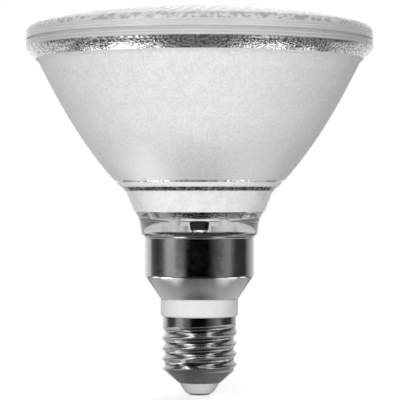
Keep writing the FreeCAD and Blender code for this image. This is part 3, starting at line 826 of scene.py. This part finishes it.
# %% Lens mesh
lens = bmesh.new()
border = disc(lens, lens_shoulder, lambda x, y: dome_height(dome, x, y) + rope_rise(x, y))
disc(lens, inner_radius, lambda x, y: dome_height(inner_dome, x, y) - lenslet_rise(x, y))
inner_edge = dome_height(inner_dome, inner_radius, 0)
shoulder_swell, outer_corner, inner_corner = -0.73, 0.3, 0.2
edge_profile = [
    *arc((lens_shoulder, lens_edge), (rim_radius, lens_band_top), shoulder_swell, 7),
    (rim_radius, lens_band_top), *ring_profile(lens_foot + outer_corner),
    (rim_radius, lens_foot + outer_corner), (rim_radius - outer_corner, lens_foot),
    (mirror_edge + inner_corner, lens_foot), (mirror_edge, lens_foot + inner_corner),
    (inner_radius, inner_edge),
]
for across, up in edge_profile:
    grown = bmesh.ops.extrude_edge_only(lens, edges=border)["geom"]
    border = [item for item in grown if isinstance(item, bmesh.types.BMEdge)]
    for vert in {v for e in border for v in e.verts}:
        direction = vert.co.xy.normalized() * across * MM
        vert.co = (direction.x, direction.y, up * MM)
bmesh.ops.remove_doubles(lens, verts=lens.verts, dist=0.002 * MM)
bmesh.ops.recalc_face_normals(lens, faces=lens.faces)
print("open edges left in the lens:", sum(e.is_boundary for e in lens.edges))

# %% [markdown]
# The outer face of the lens beyond the clear field takes the pressed and cloudier finish. Everything
# else of it, the lenslets too, is clear.

# %% Lens finishes
for face in lens.faces:
    middle = face.calc_center_median() / MM
    outward = face.normal.x * middle.x + face.normal.y * middle.y > 0 or face.normal.z > 0.5
    face.material_index = 1 if outward and math.hypot(middle.x, middle.y) > pressed_edge else 0
finished(lens, "patterned_lens", [lens_glass, lens_edge_glass], "lens_glass", "front_lens")

# %% [markdown]
# A thin bead bonds the lens to the rim. It is set back half a millimetre, which leaves the dark hairline
# that runs round the real bulb.

# %% Bead between the rim and the lens
bead_inner, bead_outer = mirror_edge + 0.5, rim_radius - 0.5
bead = lathe([(bead_inner, seam), (bead_outer, seam), (bead_outer, lens_foot), (bead_inner, lens_foot)])
finished(bead, "bond_bead", [seal_bead], "seal", "rim_seal")

# %% [markdown]
# ## The metal sleeve and the white ring
# The sleeve is spun from one disc of thin metal: a cone at its foot, a plain barrel, and a lip that is
# turned out at the top to stiffen it. Its wall is half a millimetre. The bend above the cone and the
# outer corners at its two ends are softened.

# %% Sleeve
cone_foot = foot("skirt_sleeve")
cone_top = cone_foot + 7.8
cone_bore, cone_radius = 13.09, 13.7
lip_radius = radius("skirt_sleeve")
barrel_radius = lip_radius - 0.3
barrel_bore = barrel_radius - 0.5
sleeve = lathe([
    (cone_bore, cone_foot), (cone_radius, cone_foot), (barrel_radius, cone_top),
    (barrel_radius, shoulder - 0.7), (lip_radius, shoulder - 0.4), (lip_radius, shoulder),
    (barrel_bore, shoulder), (barrel_bore, cone_top + 0.15),
])
soften(sleeve, [(barrel_radius, cone_top)], width=0.5)
soften(sleeve, [(cone_radius, cone_foot), (lip_radius, shoulder)], width=0.12, segments=2)
finished(sleeve, "spun_sleeve", [sleeve_metal], "sleeve_metal", "skirt_sleeve")

# %% [markdown]
# The ring keeps the live parts away from the sleeve. It is ceramic, so its foot is chamfered and soft,
# and a fine groove under the sleeve makes the dark line that shows between the two.

# %% Ring
base_top = top("screw_base")
ring_foot, ring_top = foot("insulating_ring"), top("insulating_ring")
ring_bore, lower_spigot, upper_spigot = 9.6, 12.45, 12.99
ring_radius = radius("insulating_ring")
chamfer_foot, chamfer_top = (ring_radius - 0.6, base_top), (ring_radius, base_top + 0.6)
groove_radius = ring_radius - 0.45
ring = lathe([
    (ring_bore, ring_foot), (lower_spigot, ring_foot), (lower_spigot, base_top), chamfer_foot, chamfer_top,
    (ring_radius, cone_foot - 0.35), (groove_radius, cone_foot - 0.3), (groove_radius, cone_foot),
    (upper_spigot, cone_foot), (upper_spigot, ring_top), (ring_bore, ring_top),
])
soften(ring, [chamfer_foot, chamfer_top], width=0.3)
finished(ring, "ceramic_ring", [white_ceramic], "white_ceramic", "insulating_ring")

# %% [markdown]
# ## The screw base
# The thread is rolled into a thin metal cup, so it is round in its crests and roots. A screw modifier
# would sweep one profile and leave its ends standing open. Here each point of a turned cup's outside is
# moved to the radius that a formula gives for its angle and height, so the thread fades in and out
# as the roller leaves it, and runs out in a small hump at the front.

# %% Thread measures
base_foot = foot("screw_base")
thread_crest = 13.1
thread_depth = 1.05
thread_pitch = 3.629
groove_level = 5.455
cone_reach = 4.9
foot_lip = 7.45
collar_radius = 12.85
collar_foot = 22.75
crest_round, root_round, flank_run, edge_round = 0.2, 0.12, 1.08, 0.05
groove_first, groove_last, run_out = 0.35, 5.05, 1.685
fade_turns, hump_turns, hump_share = 0.19, 0.05, 0.85
print("turns of thread:", round(groove_last - groove_first, 1))


# %% The radius of the base
def groove_profile(offset):
    """How full the thread is at a height above or below the middle of a groove, 0 in it, 1 on the crest."""
    from_crest = thread_pitch / 2 - abs(offset)
    rise = 1 - (math.hypot(from_crest, crest_round) - crest_round) / flank_run
    return (rise + math.hypot(rise, root_round)) / 2


def groove_depth(turns):
    """How deep the groove is after so many turns: it fades at both ends and at the hump."""
    fade = share_of(turns - groove_first, fade_turns) * share_of(groove_last - turns, fade_turns)
    hump = hump_share * math.exp(-(((turns - run_out) / hump_turns) ** 2))
    return thread_depth * fade * fade * (3 - 2 * fade) * (1 - hump)


def outer_radius(turn, up):
    """The radius of the base outside, with its foot cone, thread and collar."""
    cone = foot_lip + (up - base_foot) * (thread_crest - foot_lip) / cone_reach
    turns = turn + round((up - groove_level) / thread_pitch - turn)
    offset = up - groove_level - thread_pitch * turns
    plain = collar_radius if up > collar_foot else thread_crest
    thread = plain - groove_depth(turns) * (1 - groove_profile(offset))
    return (cone + thread - math.sqrt((cone - thread) ** 2 + edge_round)) / 2


print("groove radius halfway up:", round(outer_radius(0.0, groove_level + 3 * thread_pitch), 2))

# %% [markdown]
# The cup's outside has a row of points every 0.12 mm of height, because a pitch of 3.6 mm needs about
# thirty of them to look round when it mirrors the room.

# %% Screw base mesh
rows = 190
row_height = (base_top - base_foot) / rows
plain_side = 11.0
base_bore, bore_foot = 11.7, base_foot + 4.2
socket_bore, socket_floor = 12.5, base_top - 2.4
outside = [(plain_side, base_foot + row_height * step) for step in range(rows + 1)]
inside = [
    (socket_bore, base_top), (socket_bore, socket_floor), (base_bore, socket_floor), (base_bore, bore_foot),
    (foot_lip - 0.45, base_foot),
]
base = lathe([*outside, *inside], steps=256)
for vert in base.verts:
    out = math.hypot(vert.co.x, vert.co.y) / MM
    if abs(out - plain_side) < 0.01:
        size = outer_radius(math.atan2(vert.co.y, vert.co.x) / math.tau, vert.co.z / MM)
        vert.co.x *= size / out
        vert.co.y *= size / out
finished(base, "threaded_base", [base_metal], "nickel_plate", "screw_base")

# %% [markdown]
# The insulator closes the foot of the cup and carries the eyelet of the centre contact. Both are plain
# turned shapes whose edges a press leaves slightly round.

# %% Insulator and contact
small_steps = 128
contact_top, eyelet_top = foot("contact_insulator"), top("centre_contact")
insulator_top = top("contact_insulator")
stem_radius, stem_bore = 1.5, 0.55
nose_end, nose_start = (4.6, contact_top), (7.04, base_foot)
insulator = lathe([
    (stem_radius, contact_top), nose_end, *arc(nose_end, nose_start, 0.17, 6), nose_start,
    (base_bore, base_foot + 4.1), (base_bore, insulator_top), (stem_radius, insulator_top),
], small_steps)
finished(insulator, "moulded_insulator", [grey_insulator], "pale_insulator", "contact_insulator")
contact_radius, contact_foot, contact_chamfer = 4.0, 0.3, 0.3
contact = lathe([
    (stem_bore, contact_foot), (contact_radius - contact_chamfer, contact_foot),
    (contact_radius, contact_foot + contact_chamfer), (contact_radius, contact_top),
    (stem_radius, contact_top), (stem_radius, eyelet_top), (stem_bore, eyelet_top),
], small_steps)
finished(contact, "contact_eyelet", [contact_metal], "contact_metal", "centre_contact")

# %% [markdown]
# ## Inside the capsule
# In the frame the filament is a plain rod of the coil's outer size. The real one is fine wire wound
# into a coil. The spin operator lifts its section a little at each step, which makes a helix, so a
# small circle of wire is spun round the axis and raised by one pitch a turn.

# %% Filament coil
coil_foot, coil_top = foot("filament"), top("filament")
wire_radius, coil_radius, coil_pitch = 0.12, 0.66, 0.4
coil_steps = 16
coil_turns = (coil_top - coil_foot - 2 * wire_radius) / coil_pitch
coil = bmesh.new()
wire = bmesh.ops.create_circle(coil, cap_ends=True, segments=6, radius=wire_radius * MM)["verts"]
for vert in wire:
    vert.co = Vector((coil_radius * MM + vert.co.x, 0, (coil_foot + wire_radius) * MM + vert.co.y))
bmesh.ops.spin(
    coil, geom=coil.verts[:] + coil.edges[:] + coil.faces[:], cent=(0, 0, 0), axis=(0, 0, 1),
    dvec=(0, 0, coil_pitch * MM / coil_steps), angle=coil_turns * math.tau,
    steps=round(coil_turns * coil_steps),
)
bmesh.ops.recalc_face_normals(coil, faces=coil.faces)
print("coil turns:", round(coil_turns), "and open edges:", sum(e.is_boundary for e in coil.edges))
finished(coil, "coiled_filament", [tungsten], "tungsten", "filament")

# %% [markdown]
# ## Pieces that keep their shape
# The ferrules, posts, leads, foils, the capsule and the wires in the base are small, hidden or already
# round enough in the frame, so each keeps its mesh and takes a material in its slot.

# %% Materials for the frame's own pieces
sides = ("left", "right")
kept = [
    (ferrule_metal, [f"ferrule_{side}" for side in sides]),
    (wire_metal, [f"{piece}_{side}" for piece in ("post", "capsule_lead", "foil") for side in sides]),
    (tungsten, ["filament_leg", "filament_hanger"]), (quartz, ["capsule_envelope"]),
    (copper, ["live_wire", "neutral_wire"]), (sleeving, ["wire_sleeving"]),
    (solder_metal, ["contact_solder", "side_weld"]), (cement, ["neck_cement"]),
]
for material, names in kept:
    for name in names:
        mesh = nodes[name].data
        mesh.materials.clear()
        mesh.materials.append(material)
print("frame pieces with a new material:", sum(len(names) for material, names in kept))

# %% [markdown]
# ## The studio
# The bulb stands on a pale disc. The camera and soft light see it pale and plain. Polished metal sees a
# darker floor with painted shade and painted light cards on both sides, which glow only in reflections,
# as a photographer lays cards beside a shiny object to give its edges something bright to mirror.

# %% Floor shape
floor_radius = 0.16
floor = bpy.data.meshes.new("floor")
bm = bmesh.new()
bmesh.ops.create_circle(bm, cap_ends=True, segments=96, radius=floor_radius)
bm.to_mesh(floor)
bm.free()
floor_piece = bpy.data.objects.new("floor", floor)
bpy.context.scene.collection.objects.link(floor_piece)
floor_finish = bpy.data.materials.new("pale floor")
floor_finish.use_nodes = True
floor.materials.append(floor_finish)
print("floor radius", round(floor_radius / MM), "mm")


# %% Patches on the floor
def patch(tree, x, y, full, reach, inner=1.0, outer=0.0):
    """A soft round patch on the floor: inner up to the distance full, outer beyond the distance reach."""
    place = tree.nodes.new("ShaderNodeTexCoord")
    away = tree.nodes.new("ShaderNodeVectorMath")
    away.operation = "DISTANCE"
    away.inputs[1].default_value = (x, y, 0)
    tree.links.new(place.outputs["Object"], away.inputs[0])
    return step_between(tree, away.outputs["Value"], full, reach, inner, outer)


card_core, card_reach = 0.012, 0.03


def painted_light_cards(tree, places):
    """Painted light cards on the floor, soft and bright, each given as (x, y, strength). The brightest one
    counts.
    """
    shares = [patch(tree, x, y, card_core, card_reach, strength) for x, y, strength in places]
    painted_cards = shares[0]
    for share in shares[1:]:
        painted_cards = math_node(tree, "MAXIMUM", painted_cards, share)
    return painted_cards


print("a card is full out to", round(card_core / MM), "mm and gone at", round(card_reach / MM), "mm")

# %% [markdown]
# The floor's colour for soft light is the same pale grey that the camera sees. Only mirrored rays get
# the dark floor with painted light and shade: a painted falloff that is bright behind the bulb and fades
# towards the front, where the sleeve's cone looks for it, a painted contact shadow close round the
# contact, which the foot of the base mirrors, and painted light cards that glow only in reflections.

# %% Floor finish
tree = floor_finish.node_tree
shader = tree.nodes["Principled BSDF"]
shader.inputs["Roughness"].default_value = 0.9
shader.inputs["Specular IOR Level"].default_value = 0.0
shader.inputs["Emission Color"].default_value = (1, 1, 1, 1)
path = tree.nodes.new("ShaderNodeLightPath")
camera_ray, diffuse_depth = path.outputs["Is Camera Ray"], path.outputs["Diffuse Depth"]
floor_grey, floor_white, painted_card_glow = 0.86, 0.5, 3.2
left = [(-0.05, -0.034, 0.3), (-0.072, -0.02, 1.0), (-0.102, 0.026, 0.7)]
right = [(0.05, -0.034, 0.3), (0.072, -0.02, 0.5), (0.102, 0.026, 0.5)]
painted_cards = painted_light_cards(tree, left + right)
# A painted falloff of light: bright behind the bulb, dark towards the front.
painted_falloff = patch(tree, 0.0, 0.06, full=0.05, reach=0.125, inner=0.95, outer=0.05)
# A painted contact shadow round the contact.
painted_contact_shadow = patch(tree, 0.0, 0.0, full=0.016, reach=0.026, inner=0.4, outer=1.0)
painted_mirror_floor = math_node(tree, "MAXIMUM", painted_cards, math_node(tree, "MULTIPLY", painted_falloff, painted_contact_shadow))
plain_ray = math_node(tree, "MAXIMUM", camera_ray, diffuse_depth, clamp=True)
tree.links.new(colour_mix(tree, painted_mirror_floor, floor_grey, plain_ray), shader.inputs["Base Color"])
# The cards glow only for mirrored rays: painted light.
painted_glow = math_node(tree, "MULTIPLY", painted_cards, painted_card_glow)
painted_shine = math_node(tree, "MULTIPLY", painted_glow, path.outputs["Is Glossy Ray"])
white = math_node(tree, "MULTIPLY", camera_ray, floor_white)
tree.links.new(math_node(tree, "MAXIMUM", painted_shine, white), shader.inputs["Emission Strength"])
print("floor finish has", len(tree.nodes), "nodes")

# %% [markdown]
# Around the bulb stands a ring of grey panels, some light and some dark. They are not objects but
# stops of a colour ramp on the world, read by the direction of a ray. The stops are given in degrees
# from the camera's side, and every polished piece shows them as its upright light and dark stripes.

# %% Directions in the world
world = bpy.data.worlds.new("studio")
bpy.context.scene.world = world
world.use_nodes = True
tree = world.node_tree
direction = axes_of(tree, "Generated")
turn = math_node(tree, "ARCTAN2", direction["X"], math_node(tree, "MULTIPLY", direction["Y"], -1.0))
around = math_node(tree, "MULTIPLY_ADD", turn, 1 / math.tau, 0.5)
print("world nodes for the direction of a ray:", len(tree.nodes))


# %% Rings of panels
def panels(levels):
    """A ring of grey panels, as (degrees from the camera's side, level) from -180 to 180."""
    ramp_node = tree.nodes.new("ShaderNodeValToRGB")
    tree.links.new(around, ramp_node.inputs["Fac"])
    ramp = ramp_node.color_ramp
    ramp.elements.remove(ramp.elements[0])
    for step, (degrees, level) in enumerate(levels):
        place = (degrees + 180) / 360
        stop = ramp.elements.new(place) if step else ramp.elements[0]
        stop.position = place
        stop.color = rgba(level)
    return ramp_node.outputs["Color"]


LOW = [
    (-180, 1.0), (-125, 0.5), (-95, 0.15), (-70, 0.3), (-58, 0.35), (-52, 1.0), (-40, 1.0), (-32, 0.1),
    (-24, 0.01), (24, 0.01), (32, 0.1), (40, 0.6), (50, 0.6), (58, 0.25), (70, 0.08), (105, 0.08), (125, 0.4),
    (180, 1.0),
]
HORIZON = [
    (-180, 1.2), (-148, 0.95), (-128, 0.7), (-117, 0.12), (-98, 0.04), (-84, 0.12), (-71, 0.52), (-56, 0.5),
    (-47, 0.22), (-36, 0.16), (-24, 0.0), (20, 0.0), (30, 0.06), (46, 0.12), (56, 0.26), (66, 0.3), (76, 0.1),
    (86, 0.04), (112, 0.04), (128, 0.4), (148, 0.7), (180, 1.2),
]
HIGH = [
    (-180, 1.2), (-125, 0.6), (-110, 0.15), (-75, 0.1), (-58, 0.3), (-52, 2.6), (-34, 2.6), (-27, 0.1),
    (-12, 0.02), (12, 0.02), (27, 0.1), (34, 1.4), (46, 1.4), (54, 0.2), (70, 0.05), (110, 0.06), (125, 0.5),
    (180, 1.2),
]
print("panel stops:", len(LOW), len(HORIZON), len(HIGH))

# %% [markdown]
# Three such rings stand one above the other, and a white ceiling closes them. The mixes between them
# follow the sine of a ray's height, which is simply the Z of its direction.

# %% The room that metal mirrors
height = direction["Z"]
low_to_horizon, horizon_to_high, high_to_ceiling, ceiling = (-0.24, -0.14), (0.1, 0.22), (0.9, 0.98), 1.2
lower = colour_mix(tree, panels(LOW), panels(HORIZON), step_between(tree, height, *low_to_horizon))
upper = colour_mix(tree, lower, panels(HIGH), step_between(tree, height, *horizon_to_high))
room = colour_mix(tree, upper, ceiling, step_between(tree, height, *high_to_ceiling))
print("world nodes so far:", len(tree.nodes))

# %% [markdown]
# Matt surfaces are lit evenly, as by a light tent, so a ray that has left one sees a plain grey sky
# instead of the panels. Behind glass that sky is stronger, because lamps can't reach through glass in
# this renderer except by chance. A ray that only passed glass sees a pale backdrop, and the camera
# sees plain white.

# %% The sky for soft light, glass and the camera
seen = tree.nodes.new("ShaderNodeLightPath")
glass_ray, depth = seen.outputs["Is Transmission Ray"], seen.outputs["Diffuse Depth"]
plain_sky, more_behind_glass, backdrop = 0.33, 1.17, 0.6
sky = math_node(tree, "MULTIPLY_ADD", glass_ray, more_behind_glass, plain_sky)
lit = colour_mix(tree, room, sky, math_node(tree, "MINIMUM", depth, 1.0))
bounced = math_node(tree, "MAXIMUM", seen.outputs["Glossy Depth"], depth)
straight = math_node(tree, "MULTIPLY", glass_ray, math_node(tree, "SUBTRACT", 1.0, bounced, clamp=True))
shown = colour_mix(tree, colour_mix(tree, lit, backdrop, straight), 1.0, seen.outputs["Is Camera Ray"])
background = tree.nodes["Background"]
tree.links.new(shown, background.inputs["Color"])
background.inputs["Strength"].default_value = 1.0
print("world nodes:", len(tree.nodes))

# %% [markdown]
# Two soft lamps shape the bowl: a key beside the camera, and a weaker one behind so that the back
# isn't dull from the other side. Neither shows in metal, which has the panels to mirror.


# %% Lamps
LAMP_AIM = Vector((0, 0, 0.08))


def soft_lamp(name, size, energy, place):
    """A round soft lamp that looks at the middle of the bulb."""
    light = bpy.data.lights.new(name, "AREA")
    light.shape = "DISK"
    light.size = size
    light.energy = energy
    lamp = bpy.data.objects.new(name, light)
    lamp.location = place
    lamp.rotation_euler = (LAMP_AIM - lamp.location).to_track_quat("-Z", "Y").to_euler()
    lamp.visible_glossy = False
    lamp.visible_camera = False
    bpy.context.scene.collection.objects.link(lamp)
    return lamp


key_lamp = soft_lamp("key", size=0.5, energy=8.0, place=(-0.1, -1.1, 0.2))
back_lamp = soft_lamp("back", size=0.6, energy=6.5, place=(0.35, 1.05, 0.35))
back_lamp.visible_transmission = False
print("lamps:", key_lamp.name, back_lamp.name)

# %% [markdown]
# The camera stands level with the neck, two thirds of a metre away, and looks almost straight ahead. Its
# focal length is given in pixels of the 400 pixel frame, which is how it was measured.

# %% Camera
camera_aside, camera_distance, camera_height, camera_pitch = 0.0002, 0.672, 0.0700, 0.0030
focal_pixels, image_width = 1925, 400
lens_data = bpy.data.cameras.new("camera")
lens_data.sensor_width = 36.0
lens_data.lens = focal_pixels / image_width * lens_data.sensor_width
lens_data.clip_start, lens_data.clip_end = 0.05, 20
camera = bpy.data.objects.new("camera", lens_data)
camera.location = (camera_aside, -camera_distance, camera_height)
camera.rotation_euler = (math.pi / 2 - camera_pitch, 0, 0)
bpy.context.scene.collection.objects.link(camera)
bpy.context.scene.camera = camera
bpy.context.scene.view_settings.view_transform = "Standard"
print("focal length", round(lens_data.lens, 1), "mm")
